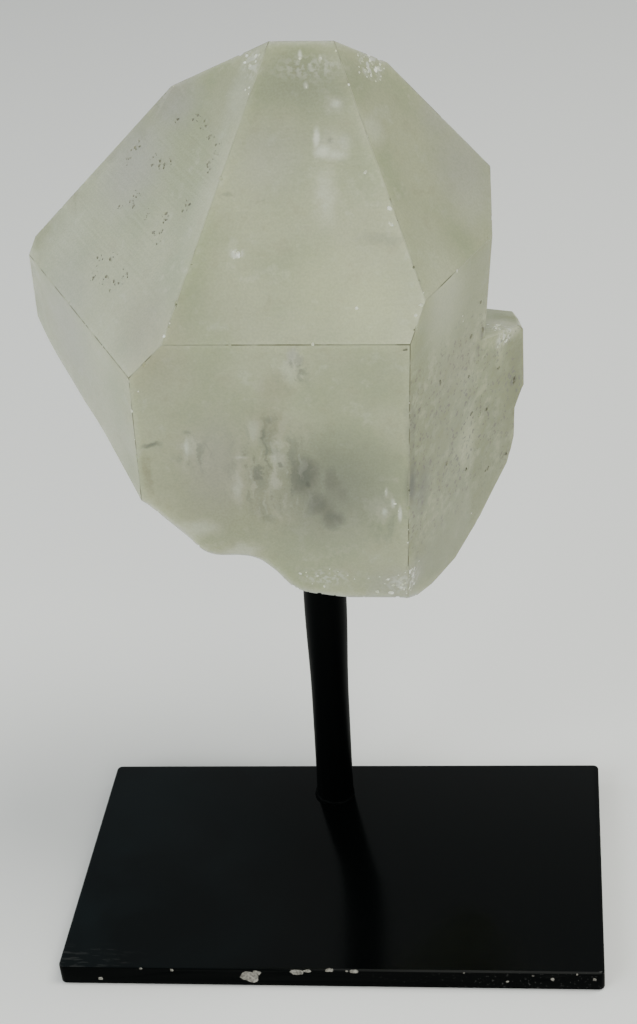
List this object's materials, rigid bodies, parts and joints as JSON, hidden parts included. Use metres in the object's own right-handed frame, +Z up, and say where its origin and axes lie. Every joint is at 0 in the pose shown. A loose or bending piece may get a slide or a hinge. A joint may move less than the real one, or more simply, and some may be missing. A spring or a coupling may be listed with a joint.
{
  "type": "quartz crystal on a display stand",
  "caption": "Cloudy natural quartz point with a blunt chisel tip and a broken base, drilled from below and held up by a black steel rod on a flat rectangular plate.",
  "frame": {"origin": "centre of the plate's underside, on the surface that the stand rests on", "axes": "+Z up, +X along the plate's long side to the viewer's right, -Y towards the front, where the crystal's widest prism face looks"},
  "size_m": [0.11, 0.0874, 0.1805],
  "materials": {
    "quartz": "cloudy, translucent, glassy faces with a dull broken base",
    "black_paint": "satin black paint with chipped edges"
  },
  "bodies": {
    "root": {"quartz_crystal": "quartz", "stand_rod": "black_paint", "stand_plate": "black_paint"}
  },
  "joints": []
}
